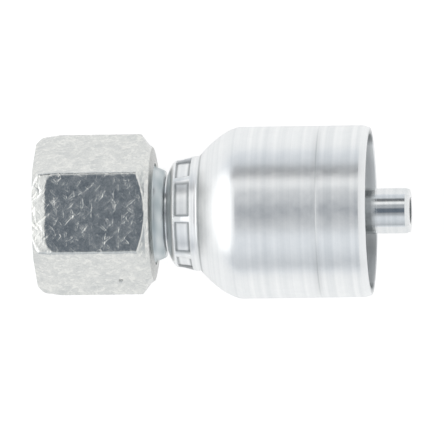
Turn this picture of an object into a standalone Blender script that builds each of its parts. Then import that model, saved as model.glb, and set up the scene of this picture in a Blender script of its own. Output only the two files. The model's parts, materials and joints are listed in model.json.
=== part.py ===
"""Crimp hose fitting with a straight female swivel nut, lying on its side.

Four pieces: the hexagon swivel nut, the wire that retains it, the turned stem
with its seat and barbed nipple, and the shell that is swaged to the stem and
later crimped round the hose. Stations run along the fitting's own axis, from
the front face of the nut (0) to the end of the nipple. A profile is a list of
(station, radius) points.
"""
from math import acos, atan, cos, pi, radians, sin, tan

import bmesh
import bpy
from mathutils import Matrix

MM = 0.001

# Running and swaging clearances, measured on the radius or along the axis
NUT_GAP = 0.15 * MM
WIRE_GAP = 0.15 * MM
SWAGE_GAP = 0.12 * MM

# Swivel nut
NUT_ACROSS_FLATS = 17.46 * MM
NUT_LENGTH = 14.9 * MM
NUT_LEAD_LENGTH = 1.65 * MM
NUT_LEAD_DROP = 0.35 * MM
NUT_FRONT_RIM_LENGTH = 2.1 * MM
NUT_FRONT_RIM_DROP = 1.1 * MM
NUT_CHAMFER_LENGTH = 1.0 * MM
NUT_CHAMFER_DROP = 1.33 * MM
NUT_BEVEL_LENGTH = 0.45 * MM
NUT_BEVEL_DROP = 0.45 * MM
NUT_ROUND_LENGTH = 0.35 * MM
NUT_ROUND_DROP = 1.4 * MM
NUT_ROUND_FULLNESS = 1.4
NUT_REST_TURN = radians(30)
NUT_PIT_DIAMETER = 0.8 * MM
NUT_PIT_DEPTH = 0.35 * MM
NUT_PIT_OFFSET = 1.65 * MM
NUT_PIT_TURN = radians(210)

# Straight thread of the nut, 9/16 in with 18 turns to the inch
THREAD_MINOR_DIAMETER = 12.9 * MM
THREAD_MAJOR_DIAMETER = 14.45 * MM
THREAD_LENGTH = 8.0 * MM
THREAD_LEAD_IN_ANGLE = radians(45)

# Retaining wire
WIRE_DIAMETER = 1.1 * MM
WIRE_STATION = 10.6 * MM
WIRE_OPENING = radians(16)

# Stem
BORE_DIAMETER = 3.0 * MM
SEAT_MOUTH_DIAMETER = 11.2 * MM
SEAT_HALF_ANGLE = radians(37)
HEAD_STATION = 6.2 * MM
HEAD_DIAMETER = 12.45 * MM
HEAD_CHAMFER = 0.3 * MM
BARREL_REAR_DIAMETER = 11.7 * MM
BARREL_END_DIAMETER = 10.8 * MM
BARREL_PROUD_LENGTH = 1.25 * MM
BARREL_FULLNESS = 1.6
NECK_DIAMETER = 9.5 * MM
NECK_LENGTH = 0.35 * MM
NECK_FLANK_LENGTH = 0.15 * MM
LOCK_GROOVE_INSET = 0.75 * MM
LOCK_GROOVE_LENGTH = 1.5 * MM
LOCK_GROOVE_DEPTH = 0.35 * MM
NIPPLE_DIAMETER = 5.7 * MM
NIPPLE_STEP_LENGTH = 1.6 * MM
NIPPLE_STEP_FULLNESS = 2
BARB_DIAMETER = 6.5 * MM
BARB_PITCH = 2.5 * MM
BARB_LAND = 0.5 * MM
BARB_RISE_LENGTH = 0.1 * MM
BARB_START_INSET = 1.0 * MM
BARB_END_INSET = 2.5 * MM
TAIL_PROUD_LENGTH = 4.95 * MM
TAIL_NOSE_LENGTH = 0.55 * MM
TAIL_NOSE_DIAMETER = 5.35 * MM

# Shell
SHELL_DIAMETER = 21.55 * MM
SHELL_LENGTH = 25.4 * MM
SHELL_WALL = 1.1 * MM
SHELL_BEVEL_LENGTH = 0.84 * MM
SHELL_BEVEL_DEPTH = 0.25 * MM
COLLAR_DIAMETER = 13.45 * MM
COLLAR_FACE_LAND = 0.1 * MM
COLLAR_FACE_LENGTH = 1.1 * MM
COLLAR_FACE_FULLNESS = 1.8
COLLAR_BAND_DIAMETER = 14.25 * MM
COLLAR_BAND_START = 1.95 * MM
COLLAR_BAND_RISE_LENGTH = 1.2 * MM
COLLAR_END_DIAMETER = 14.45 * MM
COLLAR_LENGTH = 4.0 * MM
CREASE_DEPTH = 0.1 * MM
CREASE_LENGTH = 0.3 * MM
SHOULDER_LENGTH = 5.25 * MM
SHOULDER_FULLNESS = 1.68
DIE_MARK_COUNT = 8
DIE_MARK_START = 1.2 * MM
DIE_MARK_LENGTH = 1.8 * MM
DIE_MARK_FRONT_DEPTH = 0.38 * MM
DIE_MARK_REAR_DEPTH = 0.15 * MM
DIE_RIB_WIDTH = 0.7 * MM
DIE_RIB_TURN = radians(7.2)
POCKET_FLOOR_INSET = 4.3 * MM
POCKET_FLOOR_DIAMETER = 12.0 * MM
POCKET_CORNER_LENGTH = 5.4 * MM
TOOTH_HEIGHT = 0.5 * MM
TOOTH_PITCH = 3.0 * MM
TOOTH_LAND = 0.5 * MM
TOOTH_FLANK = 0.4 * MM
TOOTH_START_INSET = 10.3 * MM
TOOTH_END_INSET = 2.4 * MM

# Facets round each turned piece, and round the wire's ring
STEM_STEPS = 32
NUT_STEPS = 48
SHELL_STEPS = 48
WIRE_STEPS = 54

# Sizes and stations that follow from the values above
NUT_RADIUS = NUT_ACROSS_FLATS / 2
NUT_CORNER_RADIUS = NUT_RADIUS / cos(pi / 6)
NUT_FLAT_END = NUT_LENGTH - NUT_ROUND_LENGTH - NUT_BEVEL_LENGTH
HEAD_RADIUS = HEAD_DIAMETER / 2
NUT_BORE_RADIUS = HEAD_RADIUS + NUT_GAP
WIRE_RING_RADIUS = HEAD_RADIUS + NUT_GAP / 2
WIRE_GROOVE_RADIUS = WIRE_DIAMETER / 2 + WIRE_GAP
BARREL_END = NUT_LENGTH + BARREL_PROUD_LENGTH
SHELL_START = BARREL_END + NECK_LENGTH
SHELL_END = SHELL_START + SHELL_LENGTH
SHELL_RADIUS = SHELL_DIAMETER / 2
SHELL_INNER_RADIUS = SHELL_RADIUS - SHELL_WALL
SEAT_RADIUS = NECK_DIAMETER / 2
COLLAR_BORE_RADIUS = SEAT_RADIUS + SWAGE_GAP
COLLAR_FACE_RADIUS = COLLAR_BORE_RADIUS + COLLAR_FACE_LAND
POCKET_FLOOR = SHELL_START + POCKET_FLOOR_INSET
TAIL_END = SHELL_END + TAIL_PROUD_LENGTH

# Finishes: base colour, roughness, metallic
ZINC_SHELL = ((0.72, 0.74, 0.74), 0.30, 1.0)
ZINC_NUT = ((0.60, 0.62, 0.64), 0.38, 1.0)
ZINC_STEM = ((0.62, 0.66, 0.68), 0.28, 1.0)
SPRING_STEEL = ((0.42, 0.42, 0.43), 0.40, 1.0)


def arc(centre, radius, start, end, steps):
    """Points on an arc about (station, radius), with angles from the axis direction."""
    angles = [start + (end - start) * i / steps for i in range(steps + 1)]
    return [(centre[0] + radius * cos(a), centre[1] + radius * sin(a)) for a in angles]


def full_curve(start, end, fullness, steps):
    """Curve that leaves start steeply and meets end along the axis."""
    points = []
    for i in range(steps + 1):
        left = 1 - i / steps
        station = end[0] - (end[0] - start[0]) * left
        points.append((station, end[1] - (end[1] - start[1]) * left**fullness))
    return points


def wire_groove(side):
    """Half of the wire's groove, front to rear: side is 1 in the nut and -1 in the stem."""
    half_angle = acos(NUT_GAP / 2 / WIRE_GROOVE_RADIUS)
    start = side * (pi - (pi / 2 - half_angle))
    end = side * (pi / 2 - half_angle)
    return arc((WIRE_STATION, WIRE_RING_RADIUS), WIRE_GROOVE_RADIUS, start, end, 6)


def nut_outline():
    """Turned outside of the nut, which rounds the hexagon's corners, front to rear."""
    rise = NUT_FRONT_RIM_DROP
    length = NUT_FRONT_RIM_LENGTH
    radius = (length**2 + rise**2) / (2 * rise)
    centre = (length, NUT_CORNER_RADIUS - radius)
    front = arc(centre, radius, pi - acos(length / radius), pi / 2, 5)
    chamfer = (NUT_FLAT_END - NUT_CHAMFER_LENGTH, NUT_CORNER_RADIUS)
    bevel = (NUT_FLAT_END, NUT_CORNER_RADIUS - NUT_CHAMFER_DROP)
    foot = (NUT_FLAT_END + NUT_BEVEL_LENGTH, bevel[1] - NUT_BEVEL_DROP)
    face = (NUT_LENGTH, foot[1] - NUT_ROUND_DROP)
    rounding = full_curve(face, foot, NUT_ROUND_FULLNESS, 3)
    return front + [chamfer, bevel] + rounding[::-1]


def nut_bore():
    """Bore of the nut at the thread's minor diameter, with the wire's groove."""
    minor = THREAD_MINOR_DIAMETER / 2
    major = THREAD_MAJOR_DIAMETER / 2
    lead_in = (major - minor) / tan(THREAD_LEAD_IN_ANGLE)
    relief = THREAD_LENGTH + abs(minor - NUT_BORE_RADIUS)
    thread = [(0, major), (lead_in, minor), (THREAD_LENGTH, minor), (relief, NUT_BORE_RADIUS)]
    return thread + wire_groove(1) + [(NUT_LENGTH, NUT_BORE_RADIUS)]


def barbs():
    """Saw teeth of the nipple, steep on the nut's side and sloping to the tail."""
    root = NIPPLE_DIAMETER / 2
    crest = BARB_DIAMETER / 2
    start = POCKET_FLOOR + NIPPLE_STEP_LENGTH + BARB_START_INSET
    count = int((SHELL_END - BARB_END_INSET - start) / BARB_PITCH)
    points = []
    for i in range(count):
        foot = start + i * BARB_PITCH
        points += [(foot, root), (foot + BARB_RISE_LENGTH, crest), (foot + BARB_LAND, crest)]
    return points + [(start + count * BARB_PITCH, root)]


def stem_outline():
    """Outside of the stem, from the rim of its seat to the tail."""
    nipple = NIPPLE_DIAMETER / 2
    rear = BARREL_REAR_DIAMETER / 2
    lip = BARREL_END_DIAMETER / 2
    head = [(HEAD_STATION, HEAD_RADIUS - HEAD_CHAMFER), (HEAD_STATION + HEAD_CHAMFER, HEAD_RADIUS)]
    barrel = [(NUT_LENGTH - (HEAD_RADIUS - rear), HEAD_RADIUS)]
    barrel += full_curve((BARREL_END, lip), (NUT_LENGTH, rear), BARREL_FULLNESS, 4)[::-1]
    barrel += [(BARREL_END + NECK_FLANK_LENGTH, SEAT_RADIUS)]
    groove = SHELL_START + LOCK_GROOVE_INSET
    groove_end = groove + LOCK_GROOVE_LENGTH
    flank = LOCK_GROOVE_DEPTH / 2
    seat = [
        (groove, SEAT_RADIUS),
        (groove + flank, SEAT_RADIUS - LOCK_GROOVE_DEPTH),
        (groove_end - flank, SEAT_RADIUS - LOCK_GROOVE_DEPTH),
        (groove_end, SEAT_RADIUS),
    ]
    step_end = (POCKET_FLOOR + NIPPLE_STEP_LENGTH, nipple)
    step = full_curve((POCKET_FLOOR, SEAT_RADIUS), step_end, NIPPLE_STEP_FULLNESS, 3)
    tail = [(TAIL_END - TAIL_NOSE_LENGTH, nipple), (TAIL_END, TAIL_NOSE_DIAMETER / 2)]
    return head + wire_groove(-1) + barrel + seat + step + barbs() + tail


def stem_bore():
    """Inside of the stem: the concave seat for the mating cone, then the through bore."""
    mouth = SEAT_MOUTH_DIAMETER / 2
    bore = BORE_DIAMETER / 2
    seat_depth = (mouth - bore) / tan(SEAT_HALF_ANGLE)
    return [(HEAD_STATION, mouth), (HEAD_STATION + seat_depth, bore), (TAIL_END, bore)]


def shell_outline():
    """Outside of the shell, from the collar's face to the open end."""
    collar = COLLAR_DIAMETER / 2
    band = COLLAR_BAND_DIAMETER / 2
    root = COLLAR_END_DIAMETER / 2
    band_start = SHELL_START + COLLAR_BAND_START
    collar_end = SHELL_START + COLLAR_LENGTH
    face_end = (SHELL_START + COLLAR_FACE_LENGTH, collar)
    front = full_curve((SHELL_START, COLLAR_FACE_RADIUS), face_end, COLLAR_FACE_FULLNESS, 4)
    front += [
        (band_start, collar),
        (band_start + COLLAR_BAND_RISE_LENGTH, band),
        (collar_end - CREASE_LENGTH, root),
        (collar_end - CREASE_LENGTH / 2, root - CREASE_DEPTH),
    ]
    shoulder_end = (collar_end + SHOULDER_LENGTH, SHELL_RADIUS)
    shoulder = full_curve((collar_end, root), shoulder_end, SHOULDER_FULLNESS, 8)
    bevel = [
        (SHELL_END - SHELL_BEVEL_LENGTH, SHELL_RADIUS),
        (SHELL_END, SHELL_RADIUS - SHELL_BEVEL_DEPTH),
    ]
    return front + shoulder + bevel


def grip_teeth():
    """Ring-shaped teeth in the shell that bite the hose cover."""
    crest = SHELL_INNER_RADIUS - TOOTH_HEIGHT
    start = SHELL_START + TOOTH_START_INSET
    length = 2 * TOOTH_FLANK + TOOTH_LAND
    count = int((SHELL_END - TOOTH_END_INSET - length - start) / TOOTH_PITCH) + 1
    points = []
    for i in range(count):
        foot = start + i * TOOTH_PITCH
        land = foot + TOOTH_FLANK
        points += [(foot, SHELL_INNER_RADIUS), (land, crest)]
        points += [(land + TOOTH_LAND, crest), (foot + length, SHELL_INNER_RADIUS)]
    return points


def shell_pocket():
    """Inside of the shell: swaged collar bore, rounded floor and toothed wall."""
    bore = COLLAR_BORE_RADIUS
    key = SHELL_START + LOCK_GROOVE_INSET + SWAGE_GAP
    key_end = key + LOCK_GROOVE_LENGTH - 2 * SWAGE_GAP
    flank = LOCK_GROOVE_DEPTH / 2
    collar = [
        (SHELL_START, bore),
        (key, bore),
        (key + flank, bore - LOCK_GROOVE_DEPTH),
        (key_end - flank, bore - LOCK_GROOVE_DEPTH),
        (key_end, bore),
        (POCKET_FLOOR, bore),
    ]
    corner_start = (POCKET_FLOOR, POCKET_FLOOR_DIAMETER / 2)
    corner_end = (POCKET_FLOOR + POCKET_CORNER_LENGTH, SHELL_INNER_RADIUS)
    corner = full_curve(corner_start, corner_end, SHOULDER_FULLNESS, 5)
    return collar + corner + grip_teeth() + [(SHELL_END, SHELL_INNER_RADIUS)]


def rest_tilt():
    """Slope of the axis at which a flat of the nut and the shell both touch the surface."""
    edges = [(NUT_LEAD_LENGTH, NUT_RADIUS), (NUT_FLAT_END, NUT_RADIUS)]
    slopes = []
    for edge in edges:
        slopes.append(max((radius - edge[1]) / (station - edge[0]) for station, radius in shell_outline()))
    return atan(min(slopes))


def lying_place(tilt):
    """Place of the axis's start that puts the box's middle over the origin, on the surface."""
    nut = [(0, NUT_RADIUS - NUT_LEAD_DROP), (NUT_LEAD_LENGTH, NUT_RADIUS)]
    points = nut + shell_outline() + stem_outline()
    left = min(station * cos(tilt) - radius * sin(tilt) for station, radius in points)
    right = max(station * cos(tilt) + radius * sin(tilt) for station, radius in points)
    drop = max(radius * cos(tilt) - station * sin(tilt) for station, radius in points)
    return (-(left + right) / 2, 0, drop)


def clear_scene():
    """Remove every object, so that the fitting stands alone."""
    for obj in list(bpy.data.objects):
        bpy.data.objects.remove(obj, do_unlink=True)


def new_collection(name):
    """Make a collection and link it to the scene."""
    group = bpy.data.collections.new(name)
    bpy.context.scene.collection.children.link(group)
    return group


def new_empty(name, group, parent=None):
    """Make an empty that carries other objects."""
    empty = bpy.data.objects.new(name, None)
    empty.parent = parent
    group.objects.link(empty)
    return empty


def new_object(name, data, group, parent):
    """Make an object in a collection, carried by an empty."""
    obj = bpy.data.objects.new(name, data)
    obj.parent = parent
    group.objects.link(obj)
    return obj


def turned(name, outline, inside, steps, group, parent):
    """Turn the closed profile between an outline and its inside, both front to rear."""
    mesh = bpy.data.meshes.new(name)
    bm = bmesh.new()
    rim = [bm.verts.new((radius, 0, station)) for station, radius in outline[::-1] + inside]
    for i in range(len(rim)):
        bm.edges.new((rim[i - 1], rim[i]))
    bm.to_mesh(mesh)
    bm.free()
    obj = new_object(name, mesh, group, parent)
    screw = obj.modifiers.new("turning", "SCREW")
    screw.axis = "Z"
    screw.angle = 2 * pi
    screw.steps = steps
    screw.render_steps = steps
    screw.use_merge_vertices = True
    screw.merge_threshold = 0.000001
    return obj


def cutter(name, bm, group, parent):
    """Make a hidden cutting tool from a bmesh."""
    mesh = bpy.data.meshes.new(name)
    bm.to_mesh(mesh)
    bm.free()
    return hidden(new_object(name, mesh, group, parent))


def hidden(obj):
    """Show a cutting tool only as a wire outline."""
    obj.hide_render = True
    obj.display_type = "WIRE"
    return obj


def combine(obj, tool, operation):
    """Cut or trim an object by another with an exact Boolean."""
    modifier = obj.modifiers.new(tool.name, "BOOLEAN")
    modifier.operation = operation
    modifier.solver = "EXACT"
    modifier.object = tool


def give_finish(obj, finish):
    """Give an object a Principled material of its own."""
    colour, roughness, metallic = finish
    material = bpy.data.materials.new(obj.name + "_finish")
    material.use_nodes = True
    shader = material.node_tree.nodes["Principled BSDF"]
    shader.inputs["Base Color"].default_value = (*colour, 1)
    shader.inputs["Roughness"].default_value = roughness
    shader.inputs["Metallic"].default_value = metallic
    obj.data.materials.append(material)


def build_nut(group, tools, swivel):
    """Hexagon nut: a bar with a slightly tapered lead, turned at its corners and bored."""
    overrun = NUT_LEAD_LENGTH
    lead_corner = NUT_CORNER_RADIUS - 2 * NUT_LEAD_DROP / cos(pi / 6)
    bar_outline = [
        (-overrun, lead_corner),
        (NUT_LEAD_LENGTH, NUT_CORNER_RADIUS),
        (NUT_LENGTH + overrun, NUT_CORNER_RADIUS),
    ]
    bar_inside = [(-overrun, NUT_BORE_RADIUS / 2), (NUT_LENGTH + overrun, NUT_BORE_RADIUS / 2)]
    nut = turned("swivel_nut", bar_outline, bar_inside, 6, group, swivel)
    turning = turned("nut_turning", nut_outline(), nut_bore(), NUT_STEPS, tools, swivel)
    combine(nut, hidden(turning), "INTERSECT")
    bm = bmesh.new()
    place = (
        Matrix.Rotation(NUT_PIT_TURN, 4, "Z")
        @ Matrix.Translation((NUT_RADIUS, NUT_PIT_OFFSET, WIRE_STATION))
        @ Matrix.Rotation(pi / 2, 4, "Y")
    )
    pit_radius = NUT_PIT_DIAMETER / 2
    bmesh.ops.create_cone(
        bm, cap_ends=True, segments=12, radius1=pit_radius, radius2=pit_radius,
        depth=2 * NUT_PIT_DEPTH, matrix=place,
    )
    combine(nut, cutter("nut_pit", bm, tools, swivel), "DIFFERENCE")
    give_finish(nut, ZINC_NUT)


def build_wire(group, swivel):
    """Open ring of round wire, half in the nut's groove and half in the stem's."""
    curve = bpy.data.curves.new("retaining_wire", "CURVE")
    curve.dimensions = "3D"
    curve.bevel_depth = WIRE_DIAMETER / 2
    curve.bevel_resolution = 2
    curve.use_fill_caps = True
    spline = curve.splines.new("POLY")
    spline.points.add(WIRE_STEPS)
    for i, point in enumerate(spline.points):
        angle = WIRE_OPENING / 2 + (2 * pi - WIRE_OPENING) * i / WIRE_STEPS
        point.co = (WIRE_RING_RADIUS * cos(angle), WIRE_RING_RADIUS * sin(angle), WIRE_STATION, 1)
    wire = new_object("retaining_wire", curve, group, swivel)
    give_finish(wire, SPRING_STEEL)


def build_stem(group, axis):
    """Stem with its seat, wire groove, neck, lock groove, barbs and tail."""
    stem = turned("hose_stem", stem_outline(), stem_bore(), STEM_STEPS, group, axis)
    give_finish(stem, ZINC_STEM)


def build_die_ring(tools, axis):
    """Ring of die pads that marks the collar, with a gap over each rib."""
    front_floor = COLLAR_DIAMETER / 2 - DIE_MARK_FRONT_DEPTH
    rear_floor = COLLAR_DIAMETER / 2 - DIE_MARK_REAR_DEPTH
    outer = COLLAR_DIAMETER
    start = SHELL_START + DIE_MARK_START
    end = start + DIE_MARK_LENGTH
    ring = turned(
        "die_ring", [(start, outer), (end, outer)], [(start, front_floor), (end, rear_floor)],
        SHELL_STEPS, tools, axis,
    )
    bm = bmesh.new()
    size = (2 * (outer - front_floor), DIE_RIB_WIDTH, 2 * DIE_MARK_LENGTH)
    for i in range(DIE_MARK_COUNT):
        turn = Matrix.Rotation(DIE_RIB_TURN + 2 * pi * i / DIE_MARK_COUNT, 4, "Z")
        place = turn @ Matrix.Translation((outer, 0, (start + end) / 2))
        bmesh.ops.create_cube(bm, size=1, matrix=place @ Matrix.Diagonal((*size, 1)))
    combine(ring, cutter("die_gaps", bm, tools, axis), "DIFFERENCE")
    return hidden(ring)


def build_shell(group, tools, axis):
    """Shell with its swaged collar, die marks, shoulder and toothed pocket."""
    shell = turned("crimp_shell", shell_outline(), shell_pocket(), SHELL_STEPS, group, axis)
    combine(shell, build_die_ring(tools, axis), "DIFFERENCE")
    give_finish(shell, ZINC_SHELL)


def shade_round(obj):
    """Shade a mesh smooth apart from its sharp edges."""
    if obj.type == "MESH":
        obj.data.shade_smooth()
        obj.data.set_sharp_from_angle(angle=radians(30))


def build_fitting():
    """Build the four pieces and lay the fitting down."""
    clear_scene()
    group = new_collection("crimp_hose_fitting")
    tools = new_collection("cutting_tools")
    axis = new_empty("fitting_axis", group)
    swivel = new_empty("nut_swivel_axis", group, axis)
    swivel.rotation_euler = (0, 0, NUT_REST_TURN)
    build_nut(group, tools, swivel)
    build_wire(group, swivel)
    build_stem(group, axis)
    build_shell(group, tools, axis)
    for obj in group.objects:
        shade_round(obj)
    tilt = rest_tilt()
    axis.rotation_euler = (0, pi / 2 - tilt, 0)
    axis.location = lying_place(tilt)


build_fitting()
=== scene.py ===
"""Crimp hose fitting, dressed: zinc-plated nut, stem and shell in a light tent.

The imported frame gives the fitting's axis, and every piece is turned about it
in the fitting's own coordinates, where +Z runs from the front face of the nut
to the end of the nipple and +X points down. Each finished mesh is then moved
to its place in the frame. Stations and radii are in metres.
"""
from __future__ import annotations

import json
import logging
from abc import ABC, abstractmethod
from collections.abc import Callable
from dataclasses import dataclass, field
from enum import Enum
from math import acos, atan2, cos, hypot, pi, radians, sin, tan
from typing import ClassVar

import bmesh
import bpy
from mathutils import Matrix, Vector


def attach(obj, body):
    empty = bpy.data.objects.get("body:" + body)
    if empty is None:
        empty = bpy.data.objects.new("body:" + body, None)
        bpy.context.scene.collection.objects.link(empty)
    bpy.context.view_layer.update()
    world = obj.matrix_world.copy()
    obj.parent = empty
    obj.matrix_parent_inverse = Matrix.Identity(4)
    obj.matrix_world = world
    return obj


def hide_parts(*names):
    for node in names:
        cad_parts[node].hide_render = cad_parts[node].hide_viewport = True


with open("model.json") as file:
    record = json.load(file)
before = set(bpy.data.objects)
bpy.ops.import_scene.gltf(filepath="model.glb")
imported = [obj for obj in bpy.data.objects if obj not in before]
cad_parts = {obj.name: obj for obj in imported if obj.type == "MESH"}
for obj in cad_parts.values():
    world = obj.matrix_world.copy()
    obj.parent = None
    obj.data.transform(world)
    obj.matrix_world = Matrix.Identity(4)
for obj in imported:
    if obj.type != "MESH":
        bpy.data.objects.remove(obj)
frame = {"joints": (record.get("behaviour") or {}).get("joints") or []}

MM = 0.001
LOG = logging.getLogger("crimp_hose_fitting")
# Vertex layer that holds each piece's share of painted shade in pits, creases, grooves, die marks, gaps
# between parts and the shell's mouth.
PAINTED_SHADE = "painted_shade"
WELD_DISTANCE = 1e-7
SHARP_TURN = radians(12)
SETBACK_SHARE = 0.45
NOISE_RANGE = (0.3, 0.7)
SCRATCH_RANGE = (0.57, 0.78)
PATCH_SHARE = 0.6

Point = tuple[float, float]


class Body(Enum):
    """Rigid bodies of the frame."""

    FIXED = "stem_and_shell"
    NUT = "nut"


class Slot(Enum):
    """Material slots of the record."""

    NUT = "nut_zinc"
    WIRE = "spring_wire"
    STEM = "stem_zinc"
    SHELL = "shell_zinc"


def soft_step(value: float, low: float, high: float) -> float:
    """Rise smoothly from 0 to 1 between two limits.

    Args:
        value: Where to read the step.
        low: Value at which the step starts.
        high: Value at which the step ends.

    Returns:
        A share from 0 to 1.
    """
    share = min(max((value - low) / (high - low), 0.0), 1.0)
    return share * share * (3 - 2 * share)


def soft_min(first: float, second: float, blend: float) -> float:
    """Take the smaller of two sizes, with a rounded change from one to the other.

    Args:
        first: One size.
        second: The other size.
        blend: Difference below which the two are blended.

    Returns:
        The blended minimum.
    """
    share = max(blend - abs(first - second), 0.0) / blend
    return min(first, second) - share * share * blend / 4


def arc(centre: Point, radius: float, start: float, end: float, steps: int) -> list[Point]:
    """Points on an arc.

    Args:
        centre: Station and radius of the arc's centre.
        radius: Radius of the arc.
        start: First angle, from the axis direction.
        end: Last angle.
        steps: Number of chords.

    Returns:
        The points from start to end.
    """
    angles = [start + (end - start) * i / steps for i in range(steps + 1)]
    return [(centre[0] + radius * cos(a), centre[1] + radius * sin(a)) for a in angles]


def full_curve(start: Point, end: Point, fullness: float, steps: int) -> list[Point]:
    """Curve that leaves start steeply and meets end along the axis.

    Args:
        start: First point.
        end: Last point.
        fullness: Power of the curve; 1 is a straight line.
        steps: Number of chords.

    Returns:
        The points from start to end.
    """
    points = []
    for i in range(steps + 1):
        left = 1 - i / steps
        station = end[0] - (end[0] - start[0]) * left
        points.append((station, end[1] - (end[1] - start[1]) * left**fullness))
    return points


@dataclass(frozen=True)
class FittingAxis:
    """Axis of the fitting in the frame.

    Attributes:
        start: Centre of the nut's front face.
        direction: Unit vector towards the end of the nipple.
    """

    start: Vector
    direction: Vector

    @classmethod
    def from_joint(cls, joint: dict, station: float) -> "FittingAxis":
        """Read the axis from the swivel joint.

        Args:
            joint: The frame's entry for the joint.
            station: Station of the joint's point.

        Returns:
            The axis that starts at the nut's front face.
        """
        direction = Vector(joint["axis"]).normalized()
        return cls(Vector(joint["pos_m"]) - station * direction, direction)

    @property
    def lean(self) -> float:
        """Angle about the frame's Y axis that turns +Z onto the fitting's axis."""
        return atan2(self.direction.x, self.direction.z)

    def placement(self) -> Matrix:
        """Matrix from the fitting's own coordinates to the frame."""
        return Matrix.Translation(self.start) @ Matrix.Rotation(self.lean, 4, "Y")


def seal(bm: bmesh.types.BMesh) -> None:
    """Merge what a spin left doubled, and point the faces out."""
    bmesh.ops.remove_doubles(bm, verts=bm.verts, dist=WELD_DISTANCE)
    bmesh.ops.recalc_face_normals(bm, faces=bm.faces)


@dataclass
class Section:
    """Closed section of a turned piece.

    Attributes:
        points: Stations and radii, down the outside from the tail end to the nut end, and
            back along the inside.
    """

    points: list[Point]

    @classmethod
    def between(cls, outside: list[Point], inside: list[Point]) -> "Section":
        """Close a section from its outside and inside, both given front to rear."""
        return cls(outside[::-1] + inside)

    def eased(self, radius: float, steps: int = 3) -> "Section":
        """Round each corner of the section.

        Args:
            radius: Largest rounding radius.
            steps: Chords in each rounding.

        Returns:
            A section with a curve at each corner that isn't nearly straight.
        """
        rounded: list[Point] = []
        count = len(self.points)
        for i, corner in enumerate(self.points):
            here = Vector(corner)
            before = Vector(self.points[i - 1]) - here
            after = Vector(self.points[(i + 1) % count]) - here
            turn = pi - before.angle(after, pi)
            if turn < SHARP_TURN:
                rounded.append(corner)
                continue
            setback = min(radius * tan(turn / 2), SETBACK_SHARE * min(before.length, after.length))
            first = here + before.normalized() * setback
            last = here + after.normalized() * setback
            for k in range(steps + 1):
                share = k / steps
                curve = first * (1 - share) ** 2 + here * 2 * share * (1 - share) + last * share**2
                rounded.append((curve.x, curve.y))
        return Section(rounded)

    def spaced(self, step: Callable[[float, float], float]) -> "Section":
        """Add points so that no chord is longer than a step.

        Args:
            step: Gives the longest chord allowed at a station and radius.

        Returns:
            A section with points added along its long sides.
        """
        dense: list[Point] = []
        for i, start in enumerate(self.points):
            end = self.points[(i + 1) % len(self.points)]
            length = hypot(end[0] - start[0], end[1] - start[1])
            parts = max(1, round(length / step((start[0] + end[0]) / 2, (start[1] + end[1]) / 2)))
            for k in range(parts):
                share = k / parts
                dense.append(
                    (start[0] + (end[0] - start[0]) * share, start[1] + (end[1] - start[1]) * share)
                )
        return Section(dense)

    def turned(self, columns: int) -> bmesh.types.BMesh:
        """Spin the section round the axis into a closed solid.

        Args:
            columns: Number of facets round the axis.

        Returns:
            The new bmesh, with its faces pointing out.
        """
        bm = bmesh.new()
        rim = [bm.verts.new((radius, 0, station)) for station, radius in self.points]
        edges = [bm.edges.new((rim[i - 1], rim[i])) for i in range(len(rim))]
        bmesh.ops.spin(
            bm, geom=rim + edges, cent=(0, 0, 0), axis=(0, 0, 1), angle=2 * pi,
            steps=columns, use_merge=True,
        )
        seal(bm)
        return bm


def reshape(bm: bmesh.types.BMesh, radius_at: Callable[[float, float, float], float]) -> None:
    """Move each vertex in or out from the axis.

    Args:
        bm: Mesh about the Z axis, changed in place.
        radius_at: Gives the new radius from the angle, the station and the present radius.
    """
    for vert in bm.verts:
        radius = hypot(vert.co.x, vert.co.y)
        angle = atan2(vert.co.y, vert.co.x)
        scale = radius_at(angle, vert.co.z, radius) / radius
        vert.co.x *= scale
        vert.co.y *= scale


def paint_shade(bm: bmesh.types.BMesh, share_at: Callable[[float, float, float], float]) -> None:
    """Store the share of painted shade, and of the roughness added with it, at each vertex.

    Args:
        bm: Mesh about the Z axis, changed in place.
        share_at: Gives the share from the angle, the station and the radius.
    """
    layer = bm.verts.layers.float.new(PAINTED_SHADE)
    for vert in bm.verts:
        angle = atan2(vert.co.y, vert.co.x)
        vert[layer] = share_at(angle, vert.co.z, hypot(vert.co.x, vert.co.y))


def make_piece(name: str, bm: bmesh.types.BMesh, axis: FittingAxis) -> bpy.types.Object:
    """Place a finished bmesh in the frame as a smooth object at the origin.

    Args:
        name: Name of the piece.
        bm: Mesh in the fitting's own coordinates; it is freed.
        axis: The fitting's axis.

    Returns:
        The new object.
    """
    bm.transform(axis.placement())
    mesh = bpy.data.meshes.new(name)
    bm.to_mesh(mesh)
    bm.free()
    mesh.shade_smooth()
    piece = bpy.data.objects.new(name, mesh)
    bpy.context.scene.collection.objects.link(piece)
    return piece


def settle(
    piece: bpy.types.Object, body: Body, node: str, material: bpy.types.Material
) -> None:
    """Give a piece its material, and hand it to the frame in place of a node.

    Args:
        piece: The finished piece.
        body: Body that carries it.
        node: Node that it stands for.
        material: Its material.
    """
    piece.data.materials.append(material)
    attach(piece, body.value)
    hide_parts(node)
    LOG.info("%s: %d vertices on %s", piece.name, len(piece.data.vertices), body.value)


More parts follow.
